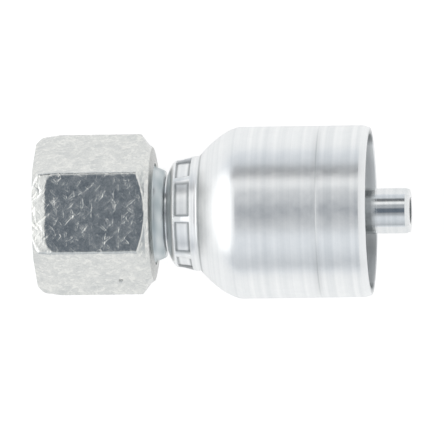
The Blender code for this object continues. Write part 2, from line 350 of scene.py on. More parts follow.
class NodeSheet:
    """Node tree with short calls for adding and linking nodes."""

    def __init__(self, tree: bpy.types.NodeTree) -> None:
        """Wrap a tree."""
        self.tree = tree

    def add(self, kind: str, **settings: object) -> bpy.types.Node:
        """Add a node.

        Args:
            kind: Blender's name of the node type, without its ShaderNode prefix.
            **settings: Properties of the node; a key that names an input sets that input.

        Returns:
            The new node.
        """
        node = self.tree.nodes.new(kind if kind.startswith("Node") else "ShaderNode" + kind)
        for key, value in settings.items():
            title = key.replace("_", " ").title()
            if title in node.inputs:
                node.inputs[title].default_value = value
            else:
                setattr(node, key, value)
        return node

    def link(self, source: bpy.types.NodeSocket, target: bpy.types.NodeSocket) -> None:
        """Link two sockets."""
        self.tree.links.new(source, target)

    def noise(
        self, vector: bpy.types.NodeSocket, scale: float, detail: float, rough: float
    ) -> bpy.types.NodeSocket:
        """Noise of a vector.

        Args:
            vector: Where to read it.
            scale: Grains in a metre.
            detail: Number of octaves.
            rough: Weight of the finer octaves.

        Returns:
            The value from 0 to 1.
        """
        node = self.add("TexNoise", scale=scale, detail=detail, roughness=rough)
        self.link(vector, node.inputs["Vector"])
        return node.outputs[0]

    def remap(
        self, value: bpy.types.NodeSocket, low: float, high: float, start: float = 0.0, end: float = 1.0
    ) -> bpy.types.NodeSocket:
        """Stretch a value from one range to another, held at the ends.

        Args:
            value: The value.
            low: Value that becomes start.
            high: Value that becomes end.
            start: New value at low.
            end: New value at high.

        Returns:
            The stretched value.
        """
        node = self.add("MapRange", clamp=True)
        self.link(value, node.inputs["Value"])
        for title, number in (("From Min", low), ("From Max", high), ("To Min", start), ("To Max", end)):
            node.inputs[title].default_value = number
        return node.outputs[0]

    def math(self, operation: str, first: object, second: object = 0.0) -> bpy.types.NodeSocket:
        """Combine two values.

        Args:
            operation: Blender's name of the operation.
            first: A socket or a number.
            second: A socket or a number.

        Returns:
            The result.
        """
        node = self.add("Math", operation=operation)
        for i, value in enumerate((first, second)):
            if isinstance(value, bpy.types.NodeSocket):
                self.link(value, node.inputs[i])
            else:
                node.inputs[i].default_value = value
        return node.outputs[0]

    def plus(self, base: object, value: object, factor: float) -> bpy.types.NodeSocket:
        """Add a value times a factor to a base."""
        return self.math("ADD", base, self.math("MULTIPLY", value, factor))

    def split(self, vector: bpy.types.NodeSocket) -> bpy.types.bpy_prop_collection:
        """Split a vector into the sockets of its three parts."""
        node = self.add("SeparateXYZ")
        self.link(vector, node.inputs[0])
        return node.outputs

    def mix(self, factor: bpy.types.NodeSocket, first: object, second: object) -> bpy.types.NodeSocket:
        """Mix two colours.

        Args:
            factor: Share of the second colour.
            first: A socket or a colour.
            second: A socket or a colour.

        Returns:
            The mixed colour.
        """
        node = self.add("Mix", data_type="RGBA")
        self.link(factor, node.inputs[0])
        for i, value in ((6, first), (7, second)):
            if isinstance(value, bpy.types.NodeSocket):
                self.link(value, node.inputs[i])
            else:
                node.inputs[i].default_value = (*value, 1)
        return node.outputs[2]


def new_group(
    name: str, inputs: dict[str, float], outputs: tuple[str, ...]
) -> tuple[bpy.types.NodeTree, NodeSheet, bpy.types.Node, bpy.types.Node]:
    """Start a shader node group.

    Args:
        name: Name of the group.
        inputs: Default of each input after the vector, all values.
        outputs: Names of the outputs, all values.

    Returns:
        The group, its sheet, and its input and output nodes.
    """
    group = bpy.data.node_groups.new(name, "ShaderNodeTree")
    group.interface.new_socket("Vector", in_out="INPUT", socket_type="NodeSocketVector")
    for title, default in inputs.items():
        socket = group.interface.new_socket(title, in_out="INPUT", socket_type="NodeSocketFloat")
        socket.default_value = default
    for title in outputs:
        group.interface.new_socket(title, in_out="OUTPUT", socket_type="NodeSocketFloat")
    sheet = NodeSheet(group)
    return group, sheet, sheet.add("NodeGroupInput"), sheet.add("NodeGroupOutput")


def mottle_group() -> bpy.types.NodeTree:
    """Cloudy tone of zinc plate: broad patches with finer grain.

    Returns:
        A group with a Tone from 0 to 1 and a Height.
    """
    group, sheet, given, result = new_group(
        "zinc_mottle", {"Patch Scale": 600.0, "Grain Scale": 4000.0}, ("Tone", "Height")
    )
    patches = sheet.add("TexNoise", detail=4.0, roughness=0.6, distortion=0.6)
    grain = sheet.add("TexNoise", detail=3.0, roughness=0.65)
    for node, title in ((patches, "Patch Scale"), (grain, "Grain Scale")):
        sheet.link(given.outputs["Vector"], node.inputs["Vector"])
        sheet.link(given.outputs[title], node.inputs["Scale"])
    broad = sheet.remap(patches.outputs[0], *NOISE_RANGE)
    fine = sheet.remap(grain.outputs[0], *NOISE_RANGE)
    tone = sheet.plus(sheet.math("MULTIPLY", broad, PATCH_SHARE), fine, 1 - PATCH_SHARE)
    sheet.link(tone, result.inputs["Tone"])
    sheet.link(fine, result.inputs["Height"])
    return group


def scratch_group() -> bpy.types.NodeTree:
    """Sparse hairline scratches along the first axis of the given vector.

    Returns:
        A group with a Mask that is 1 on a scratch.
    """
    group, sheet, given, result = new_group(
        "hairline_scratches", {"Length Scale": 600.0, "Width Scale": 1700.0}, ("Mask",)
    )
    parts = sheet.split(given.outputs["Vector"])
    joined = sheet.add("CombineXYZ")
    for i, title in enumerate(("Length Scale", "Width Scale", "Width Scale")):
        sheet.link(sheet.math("MULTIPLY", parts[i], given.outputs[title]), joined.inputs[i])
    streaks = sheet.noise(joined.outputs[0], scale=1.0, detail=1.5, rough=0.5)
    sheet.link(sheet.remap(streaks, *SCRATCH_RANGE), result.inputs["Mask"])
    return group


def turning_group() -> bpy.types.NodeTree:
    """Fine rings left by the turning tool, round the third axis of the given vector.

    Returns:
        A group with a Height and a Tone that change along the axis.
    """
    group, sheet, given, result = new_group(
        "turning_rings", {"Ring Scale": 5000.0, "Band Scale": 900.0}, ("Height", "Tone")
    )
    along = sheet.split(given.outputs["Vector"])[2]
    values = []
    for title, detail in (("Ring Scale", 2.0), ("Band Scale", 3.0)):
        rings = sheet.add("TexNoise", noise_dimensions="1D", scale=1.0, detail=detail, roughness=0.6)
        sheet.link(sheet.math("MULTIPLY", along, given.outputs[title]), rings.inputs["W"])
        values.append(rings.outputs[0])
    sheet.link(values[0], result.inputs["Height"])
    sheet.link(sheet.remap(values[1], *NOISE_RANGE), result.inputs["Tone"])
    return group


@dataclass(frozen=True)
class Effects:
    """Shader node groups that the finishes share."""

    mottle: bpy.types.NodeTree
    scratches: bpy.types.NodeTree
    turning: bpy.types.NodeTree

    @classmethod
    def build(cls) -> "Effects":
        """Build each group once."""
        return cls(mottle_group(), scratch_group(), turning_group())


@dataclass(frozen=True)
class ZincFinish:
    """Zinc plate on steel.

    Attributes:
        name: Name of the material.
        light: Base colour of the light patches.
        dark: Base colour of the dark patches.
        smooth: Roughness of the smooth patches.
        dull: Roughness of the dull patches.
        ring_depth: Height of the turning rings.
        ring_scale: Number of them in a metre, roughly.
        banding: Share of the tone that follows the turning rings.
        grain_depth: Height of the plating grain.
        relief_depth: Height of the broad dents and bumps under the plating.
        relief_scale: Number of them in a metre.
        scratch_depth: Depth of the hairline scratches.
        scratch_angles: Directions of the scratches in the plane of the flat that faces up.
        scratch_tone: Tone that is added on a scratch.
        inside_radius: Radius below which the surface is the dull inside of a bore.
        inside_blend: Half of the width of the change at that radius.
        inside_start: Station at which that inside begins.
        inside_fade: Length over which it begins.
        inside_shade: Share of the dark colour that is painted there, as the bore's painted light and shade.
        inside_dull: Roughness that is added there.
        brushing: How much the turning marks stretch reflections along the axis.
        painted_shade: Colour of the painted shade, where the piece's painted share of shade is full.
        painted_shade_dull: Roughness that is added there.
    """

    name: str
    light: tuple[float, float, float]
    dark: tuple[float, float, float]
    smooth: float
    dull: float
    ring_depth: float = 0.0
    ring_scale: float = 5000.0
    banding: float = 0.5
    grain_depth: float = 0.0
    relief_depth: float = 0.0
    relief_scale: float = 1700.0
    scratch_depth: float = 0.0
    scratch_angles: tuple[float, ...] = ()
    scratch_tone: float = 0.6
    inside_radius: float = 0.0
    inside_blend: float = 0.05 * MM
    inside_start: float = 0.0
    inside_fade: float = 1.0 * MM
    inside_shade: float = 0.6
    inside_dull: float = 0.12
    brushing: float = 0.0
    painted_shade: tuple[float, float, float] | None = None
    painted_shade_dull: float = 0.1

    def material(self, effects: Effects, axis: FittingAxis) -> bpy.types.Material:
        """Build the material.

        Args:
            effects: The shared node groups.
            axis: Axis that the turning rings follow.

        Returns:
            The new material.
        """
        material = bpy.data.materials.new(self.name)
        material.use_nodes = True
        sheet = NodeSheet(material.node_tree)
        shader = material.node_tree.nodes["Principled BSDF"]
        shader.inputs["Metallic"].default_value = 1.0
        place = sheet.add("TexCoord")
        local = sheet.add("Mapping", vector_type="TEXTURE", location=axis.start, rotation=(0, axis.lean, 0))
        sheet.link(place.outputs["Object"], local.inputs["Vector"])
        vector = local.outputs[0]
        mottle = self.placed(sheet, effects.mottle, vector)
        turning = self.placed(sheet, effects.turning, vector)
        turning.inputs["Ring Scale"].default_value = self.ring_scale
        tone = mottle.outputs["Tone"]
        height = sheet.math("MULTIPLY", mottle.outputs["Height"], self.grain_depth)
        if self.ring_depth:
            tone = sheet.math("MULTIPLY", tone, 1 - self.banding)
            tone = sheet.plus(tone, turning.outputs["Tone"], self.banding)
            height = sheet.plus(height, turning.outputs["Height"], self.ring_depth)
        for angle in self.scratch_angles:
            turned = sheet.add("Mapping", rotation=(0, 0, angle), location=(angle, 0, 0))
            upright = sheet.add("Mapping", rotation=(0, pi / 2, 0))
            sheet.link(vector, upright.inputs["Vector"])
            sheet.link(upright.outputs[0], turned.inputs["Vector"])
            scratch = self.placed(sheet, effects.scratches, turned.outputs[0]).outputs["Mask"]
            height = sheet.plus(height, scratch, -self.scratch_depth)
            tone = sheet.plus(tone, scratch, self.scratch_tone)
        if self.relief_depth:
            relief = sheet.noise(vector, self.relief_scale, detail=1.5, rough=0.45)
            height = sheet.plus(height, relief, self.relief_depth)
        colour = sheet.mix(tone, self.dark, self.light)
        rough = sheet.remap(mottle.outputs["Tone"], 0.0, 1.0, self.smooth, self.dull)
        # Painted light and shade inside a bore: the colour there is set to a share of the dark colour.
        if self.inside_radius:
            inside = self.inside_share(sheet, vector)
            colour = sheet.mix(inside, colour, tuple(self.inside_shade * part for part in self.dark))
            rough = sheet.plus(rough, inside, self.inside_dull)
        # Painted shade: the vertex share darkens the colour towards the shade colour and adds roughness.
        if self.painted_shade:
            share = sheet.add("Attribute", attribute_type="GEOMETRY", attribute_name=PAINTED_SHADE).outputs["Fac"]
            colour = sheet.mix(share, colour, self.painted_shade)
            rough = sheet.plus(rough, share, self.painted_shade_dull)
        sheet.link(colour, shader.inputs["Base Color"])
        sheet.link(rough, shader.inputs["Roughness"])
        if self.brushing:
            shader.inputs["Anisotropic"].default_value = self.brushing
            along = sheet.add("CombineXYZ", x=axis.direction.x, y=axis.direction.y, z=axis.direction.z)
            sheet.link(along.outputs[0], shader.inputs["Tangent"])
        bump = sheet.add("Bump", strength=1.0, distance=1.0)
        sheet.link(height, bump.inputs["Height"])
        sheet.link(bump.outputs[0], shader.inputs["Normal"])
        return material

    def inside_share(self, sheet: NodeSheet, vector: bpy.types.NodeSocket) -> bpy.types.NodeSocket:
        """Tell the inside of a bore from the outside by the distance from the axis.

        Args:
            sheet: The material's node sheet.
            vector: Place in the fitting's own coordinates.

        Returns:
            A share that is 1 inside and 0 outside.
        """
        across = sheet.add("VectorMath", operation="MULTIPLY")
        sheet.link(vector, across.inputs[0])
        across.inputs[1].default_value = (1, 1, 0)
        distance = sheet.add("VectorMath", operation="LENGTH")
        sheet.link(across.outputs[0], distance.inputs[0])
        edge, blend = self.inside_radius, self.inside_blend
        near = sheet.remap(distance.outputs["Value"], edge - blend, edge + blend, 1.0, 0.0)
        station = sheet.split(vector)[2]
        behind = sheet.remap(station, self.inside_start, self.inside_start + self.inside_fade)
        return sheet.math("MULTIPLY", near, behind)

    @staticmethod
    def placed(sheet: NodeSheet, tree: bpy.types.NodeTree, vector: bpy.types.NodeSocket) -> bpy.types.Node:
        """Place a shared group and link its vector."""
        node = sheet.add("Group", node_tree=tree)
        sheet.link(vector, node.inputs["Vector"])
        return node


@dataclass
class RetainingWire:
    """Open ring of round wire between the nut and the stem."""

    diameter: float = 1.1 * MM
    ring_radius: float = 6.3 * MM
    station: float = 10.6 * MM
    gap: float = 0.15 * MM
    opening: float = radians(16)
    opening_turn: float = radians(30)
    steps: int = 120
    sides: int = 20
    finish: ZincFinish = field(
        default_factory=lambda: ZincFinish(
            name="spring_wire_steel", light=(0.50, 0.50, 0.51), dark=(0.38, 0.38, 0.40),
            smooth=0.3, dull=0.42, grain_depth=0.002 * MM,
        )
    )

    def groove(self, side: int, wall_radius: float) -> list[Point]:
        """Half of the groove that holds the wire, front to rear.

        Args:
            side: 1 in the nut and -1 in the stem.
            wall_radius: Radius of the wall that the groove is cut in.

        Returns:
            The groove's points.
        """
        radius = self.diameter / 2 + self.gap
        half_angle = acos(abs(wall_radius - self.ring_radius) / radius)
        start = side * (pi / 2 + half_angle)
        end = side * (pi / 2 - half_angle)
        return arc((self.station, self.ring_radius), radius, start, end, steps=12)

    def build(self, axis: FittingAxis, effects: Effects) -> bpy.types.Object:
        """Build and dress the wire.

        Args:
            axis: The fitting's axis.
            effects: Shared node groups.

        Returns:
            The finished piece.
        """
        bm = bmesh.new()
        place = Matrix.Translation((self.ring_radius, 0, self.station)) @ Matrix.Rotation(pi / 2, 4, "X")
        ring = bmesh.ops.create_circle(
            bm, cap_ends=True, radius=self.diameter / 2, segments=self.sides, matrix=place
        )
        faces = list({face for vert in ring["verts"] for face in vert.link_faces})
        bmesh.ops.spin(
            bm, geom=faces, cent=(0, 0, 0), axis=(0, 0, 1), angle=2 * pi - self.opening, steps=self.steps
        )
        turn = Matrix.Rotation(self.opening_turn + self.opening / 2, 4, "Z")
        bmesh.ops.transform(bm, matrix=turn, verts=bm.verts)
        seal(bm)
        piece = make_piece("wire_ring", bm, axis)
        settle(piece, Body.NUT, "retaining_wire", self.finish.material(effects, axis))
        return piece


class TurnedPiece(ABC):
    """Piece whose section is turned about the fitting's axis.

    Attributes:
        name: Name of the piece.
        body: Body that carries it.
        node: Node that it stands for.
        slot: Material slot of the record.
        finish: Its surface.
        columns: Number of facets round the axis.
        edge_radius: Largest rounding of the section's corners.
        row_length: Longest chord of the section.
    """

    name: ClassVar[str]
    body: ClassVar[Body]
    node: ClassVar[str]
    slot: ClassVar[Slot]
    finish: ZincFinish
    columns: int
    edge_radius: float
    row_length: float

    @abstractmethod
    def outside(self) -> list[Point]:
        """Outside of the section, front to rear."""

    @abstractmethod
    def inside(self) -> list[Point]:
        """Inside of the section, front to rear."""

    def row_step(self, station: float, radius: float) -> float:
        """Longest chord of the section at a station and radius."""
        return self.row_length

    def radius_at(self, angle: float, station: float, radius: float) -> float:
        """Shape of the finished piece from its turned blank.

        Args:
            angle: Angle round the axis.
            station: Station along the axis.
            radius: Radius on the blank.

        Returns:
            The radius on the piece.
        """
        return radius

    @abstractmethod
    def painted_shade_at(self, angle: float, station: float, radius: float) -> float:
        """Share of painted shade at a place of the finished piece.

        Args:
            angle: Angle round the axis.
            station: Station along the axis.
            radius: Distance from the axis.

        Returns:
            The share from 0 to 1.
        """

    def refine(self, bm: bmesh.types.BMesh) -> None:
        """Divide the blank's edges where a small shape comes; there is none by default."""

    def build(self, axis: FittingAxis, effects: Effects) -> bpy.types.Object:
        """Build and dress the piece.

        Args:
            axis: The fitting's axis.
            effects: Shared node groups.

        Returns:
            The finished piece.
        """
        section = Section.between(self.outside(), self.inside()).eased(self.edge_radius)
        bm = section.spaced(self.row_step).turned(self.columns)
        self.refine(bm)
        reshape(bm, self.radius_at)
        paint_shade(bm, self.painted_shade_at)
        piece = make_piece(self.name, bm, axis)
        settle(piece, self.body, self.node, self.finish.material(effects, axis))
        return piece


@dataclass
class SwivelNut(TurnedPiece):
    """Hexagon nut with rounded corners, a flare thread and a groove for its wire."""

    wire: RetainingWire
    name: ClassVar[str] = "nut_body"
    body: ClassVar[Body] = Body.NUT
    node: ClassVar[str] = "swivel_nut"
    slot: ClassVar[Slot] = Slot.NUT
    across_flats: float = 17.46 * MM
    length: float = 14.9 * MM
    lead_length: float = 1.65 * MM
    lead_drop: float = 0.35 * MM
    rim_length: float = 2.1 * MM
    rim_drop: float = 1.1 * MM
    chamfer_length: float = 1.0 * MM
    chamfer_drop: float = 1.33 * MM
    bevel_length: float = 0.45 * MM
    bevel_drop: float = 0.32 * MM
    round_length: float = 0.35 * MM
    round_drop: float = 1.53 * MM
    round_fullness: float = 1.4
    corner_blend: float = 0.16 * MM
    chamfer_blend: float = 0.1 * MM
    corner_reach: float = 1.25 * MM
    corner_power: float = 9.0
    flat_turn: float = 0.0
    bore_radius: float = 6.375 * MM
    thread_minor: float = 6.45 * MM
    thread_major: float = 7.225 * MM
    thread_pitch: float = 25.4 * MM / 18
    thread_length: float = 8.0 * MM
    thread_root: float = 7.05 * MM
    thread_flank: tuple[float, float] = (0.1, 0.82)
    thread_lead_in: tuple[float, float] = (0.1 * MM, 0.9 * MM)
    thread_run_out: float = 6.9 * MM
    thread_margin: float = 0.02 * MM
    outside_margin: float = 0.2 * MM
    bore_margin: float = 0.1 * MM
    edge_radius: float = 0.15 * MM
    pit_radius: float = 0.3 * MM
    pit_floor: float = 0.1
    pit_surround: float = 3.5
    pit_depth: float = 0.9 * MM
    pit_station: float = 10.6 * MM
    pit_turn: float = radians(240)
    pit_offset: float = 1.65 * MM
    # Painted shade in the pit and on the rear face's rounding, as shares of the shade colour.
    pit_painted_shade: float = 3.0
    rear_painted_shade: float = 0.45
    rear_blend: tuple[float, float] = (-0.03 * MM, 0.07 * MM)
    thread_step: float = 0.085 * MM
    row_length: float = 0.15 * MM
    columns: int = 288
    finish: ZincFinish = field(
        default_factory=lambda: ZincFinish(
            name="nut_zinc_plate",
            light=(0.80, 0.805, 0.775),
            dark=(0.56, 0.58, 0.58),
            smooth=0.13,
            dull=0.25,
            grain_depth=0.002 * MM,
            relief_depth=0.05 * MM,
            relief_scale=1250.0,
            scratch_depth=0.022 * MM,
            scratch_angles=(0.8, 1.6, 2.35),
            # Colour of the painted shade in the pit and on the rear face.
            painted_shade=(0.16, 0.16, 0.15),
        )
    )

    def outside(self) -> list[Point]:
        """Turned outside that rounds the hexagon's corners, front to rear."""
        corner = self.across_flats / 2 / cos(pi / 6)
        radius = (self.rim_length**2 + self.rim_drop**2) / (2 * self.rim_drop)
        centre = (self.rim_length, corner - radius)
        front = arc(centre, radius, pi - acos(self.rim_length / radius), pi / 2, steps=12)
        flat_end = self.length - self.round_length - self.bevel_length
        bevel = (flat_end, corner - self.chamfer_drop)
        foot = (flat_end + self.bevel_length, bevel[1] - self.bevel_drop)
        face = (self.length, foot[1] - self.round_drop)
        rounding = full_curve(face, foot, self.round_fullness, steps=8)
        return front + [(flat_end - self.chamfer_length, corner), bevel] + rounding[::-1]

    def inside(self) -> list[Point]:
        """Bore with the wire's groove, front to rear."""
        lead_in = self.thread_major - self.thread_minor
        relief = self.thread_length + self.thread_minor - self.bore_radius
        thread = [
            (0, self.thread_major),
            (lead_in, self.thread_minor),
            (self.thread_length, self.thread_minor),
            (relief, self.bore_radius),
        ]
        return thread + self.wire.groove(1, self.bore_radius) + [(self.length, self.bore_radius)]

    def hexagon(self, angle: float, station: float) -> float:
        """Radius of the hexagon with its slightly tapered lead.

        Args:
            angle: Angle round the axis.
            station: Station along the axis.

        Returns:
            The radius, with softened corners.
        """
        sector = (angle - self.flat_turn + pi / 6) % (pi / 3) - pi / 6
        lead = self.lead_length + self.corner_reach * (abs(sector) / (pi / 6)) ** self.corner_power
        drop = self.lead_drop * max(0.0, 1 - station / lead)
        apothem = self.across_flats / 2 - drop
        near = apothem / cos(sector)
        beside = apothem / cos(pi / 3 - abs(sector))
        return soft_min(near, beside, self.corner_blend)

    def thread(self, angle: float, station: float) -> float:
        """Radius of the thread's surface where it is cut.

        Args:
            angle: Angle round the axis.
            station: Station along the axis.

        Returns:
            The radius between the thread's crest and root.
        """
        phase = (station / self.thread_pitch - angle / (2 * pi)) % 1.0
        depth = soft_step(abs(phase - 0.5) * 2, *self.thread_flank)
        fade = soft_step(station, *self.thread_lead_in)
        fade *= soft_step(-station, -self.thread_length, -self.thread_run_out)
        return self.thread_minor + (self.thread_root - self.thread_minor) * (1 - depth) * fade

    def radius_at(self, angle: float, station: float, radius: float) -> float:
        """Cut the hexagon, the pit and the thread."""
        margin = self.outside_margin
        if radius > self.thread_major + margin or station > self.length - margin:
            shaped = soft_min(radius, self.hexagon(angle, station), self.chamfer_blend)
            return shaped - self.pit(angle, station)
        if radius > self.thread_minor - self.thread_margin and 0 < station < self.thread_length:
            return max(radius, self.thread(angle, station))
        return radius

    def pit(self, angle: float, station: float) -> float:
        """Depth of the small pit in one flat.

        Args:
            angle: Angle round the axis.
            station: Station along the axis.

        Returns:
            The depth at that place.
        """
        side = (angle - self.pit_turn + pi) % (2 * pi) - pi
        across = self.across_flats / 2 * tan(max(-1.0, min(1.0, side))) - self.pit_offset
        distance = hypot(across, station - self.pit_station)
        floor = self.pit_floor * self.pit_radius
        return self.pit_depth * (1 - soft_step(distance, floor, self.pit_radius))

    def painted_shade_at(self, angle: float, station: float, radius: float) -> float:
        """Painted shade: full in the pit, less on the rear face."""
        if radius < self.bore_radius + self.bore_margin:
            return 0.0
        past_rear = station - self.length + self.round_length
        behind = self.rear_painted_shade * soft_step(past_rear, *self.rear_blend)
        in_pit = min(1.0, self.pit_painted_shade * self.pit(angle, station) / self.pit_depth)
        return max(behind, in_pit if radius > self.thread_major else 0.0)

    def refine(self, bm: bmesh.types.BMesh) -> None:
        """Divide the blank's edges finely where the pit comes.

        Args:
            bm: The turned blank, changed in place.
        """
        across = self.across_flats / 2
        angle = self.pit_turn + atan2(self.pit_offset, across)
        centre = Vector((cos(angle), sin(angle), 0)) * hypot(across, self.pit_offset)
        centre.z = self.pit_station
        reach = self.pit_surround * self.pit_radius
        near = [
            edge for edge in bm.edges
            if ((edge.verts[0].co + edge.verts[1].co) / 2 - centre).length < reach
        ]
        bmesh.ops.subdivide_edges(bm, edges=near, cuts=3, use_grid_fill=True)

    def row_step(self, station: float, radius: float) -> float:
        """Short chords in the thread."""
        threaded = station < self.thread_length and radius < self.thread_major
        return self.thread_step if threaded else self.row_length


@dataclass
class HoseStem(TurnedPiece):
    """Turned stem with its seat, barrel, neck, lock groove, barbs and tail."""

    wire: RetainingWire
    name: ClassVar[str] = "stem_body"
    body: ClassVar[Body] = Body.FIXED
    node: ClassVar[str] = "hose_stem"
    slot: ClassVar[Slot] = Slot.STEM
    nut_length: float = 14.9 * MM
    shell_start: float = 16.5 * MM
    shell_end: float = 41.9 * MM
    pocket_floor: float = 20.8 * MM
    tail_end: float = 46.85 * MM
    bore_radius: float = 1.5 * MM
    seat_mouth: float = 5.6 * MM
    seat_half_angle: float = radians(37)
    head_station: float = 6.2 * MM
    head_radius: float = 6.225 * MM
    head_chamfer: float = 0.3 * MM
    barrel_rear: float = 5.85 * MM
    barrel_lip: float = 5.4 * MM
    barrel_end: float = 16.15 * MM
    barrel_fullness: float = 1.6
    neck_radius: float = 4.75 * MM
    neck_flank: float = 0.15 * MM
    groove_inset: float = 0.75 * MM
    groove_length: float = 1.5 * MM
    groove_depth: float = 0.35 * MM
    nipple_radius: float = 2.85 * MM
    step_length: float = 1.6 * MM
    step_fullness: float = 2.0
    barb_radius: float = 3.25 * MM
    barb_rise: float = 0.1 * MM
    barb_pitch: float = 2.5 * MM
    barb_land: float = 0.5 * MM
    barb_start_inset: float = 1.0 * MM
    barb_end_inset: float = 2.5 * MM
    nose_length: float = 0.55 * MM
    nose_radius: float = 2.675 * MM
    edge_radius: float = 0.12 * MM
    bore_margin: float = 1.0 * MM
    # Painted shade on the barrel between the nut and the collar, in patches.
    barrel_shade_blend: float = 0.1 * MM
    barrel_shade_patches: float = 0.25
    row_length: float = 0.6 * MM
    columns: int = 160
    finish: ZincFinish = field(
        default_factory=lambda: ZincFinish(
            name="stem_zinc_plate",
            light=(0.87, 0.88, 0.88),
            dark=(0.70, 0.73, 0.74),
            smooth=0.09,
            dull=0.17,
            # Colour of the painted shade on the barrel.
            painted_shade=(0.45, 0.51, 0.53),
            painted_shade_dull=0.3,
            ring_depth=0.004 * MM,
            ring_scale=4000.0,
            grain_depth=0.001 * MM,
            # Painted shade in the bore: its colour is 0.3 of the dark colour.
            inside_radius=1.7 * MM,
            inside_start=12.0 * MM,
            inside_shade=0.3,
        )
    )

    def barbs(self) -> list[Point]:
        """Saw teeth of the nipple, steep on the nut's side."""
        start = self.pocket_floor + self.step_length + self.barb_start_inset
        count = int((self.shell_end - self.barb_end_inset - start) / self.barb_pitch)
        points = []
        for i in range(count):
            foot = start + i * self.barb_pitch
            points += [
                (foot, self.nipple_radius),
                (foot + self.barb_rise, self.barb_radius),
                (foot + self.barb_land, self.barb_radius),
            ]
        return points + [(start + count * self.barb_pitch, self.nipple_radius)]

    def outside(self) -> list[Point]:
        """Outside of the stem, from the rim of its seat to the tail."""
        head = [
            (self.head_station, self.head_radius - self.head_chamfer),
            (self.head_station + self.head_chamfer, self.head_radius),
        ]
        lip = (self.barrel_end, self.barrel_lip)
        rear = (self.nut_length, self.barrel_rear)
        barrel = [(self.nut_length - (self.head_radius - self.barrel_rear), self.head_radius)]
        barrel += full_curve(lip, rear, self.barrel_fullness, steps=10)[::-1]
        barrel += [(self.barrel_end + self.neck_flank, self.neck_radius)]
        lock = self.shell_start + self.groove_inset
        lock_end = lock + self.groove_length
        flank = self.groove_depth / 2
        seat = [
            (lock, self.neck_radius),
            (lock + flank, self.neck_radius - self.groove_depth),
            (lock_end - flank, self.neck_radius - self.groove_depth),
            (lock_end, self.neck_radius),
        ]
        step_end = (self.pocket_floor + self.step_length, self.nipple_radius)
        step = full_curve((self.pocket_floor, self.neck_radius), step_end, self.step_fullness, steps=8)
        tail = [(self.tail_end - self.nose_length, self.nipple_radius), (self.tail_end, self.nose_radius)]
        groove = self.wire.groove(-1, self.head_radius)
        return head + groove + barrel + seat + step + self.barbs() + tail

    def inside(self) -> list[Point]:
        """Concave seat and through bore."""
        depth = (self.seat_mouth - self.bore_radius) / tan(self.seat_half_angle)
        return [
            (self.head_station, self.seat_mouth),
            (self.head_station + depth, self.bore_radius),
            (self.tail_end, self.bore_radius),
        ]

    def painted_shade_at(self, angle: float, station: float, radius: float) -> float:
        """Painted shade, in patches, on the dull barrel in and behind the nut."""
        if radius < self.bore_radius + self.bore_margin:
            return 0.0
        wave = sin(7 * angle + station / MM) * cos(4 * angle - 3 * station / MM)
        patches = 1 - self.barrel_shade_patches + self.barrel_shade_patches * wave
        return patches * (1 - soft_step(station - self.barrel_end, -self.barrel_shade_blend, self.barrel_shade_blend))


@dataclass(frozen=True)
class PaintedShadeLine:
    """Line of painted shade round a piece.

    Attributes:
        station: Middle of the line.
        core: Distance from its middle up to which it is full.
        reach: Distance from its middle at which it ends.
        share: Share of painted shade in its middle.
    """

    station: float
    core: float
    reach: float
    share: float

    def at(self, station: float) -> float:
        """Share of painted shade at a station."""
        return self.share * (1 - soft_step(abs(station - self.station), self.core, self.reach))


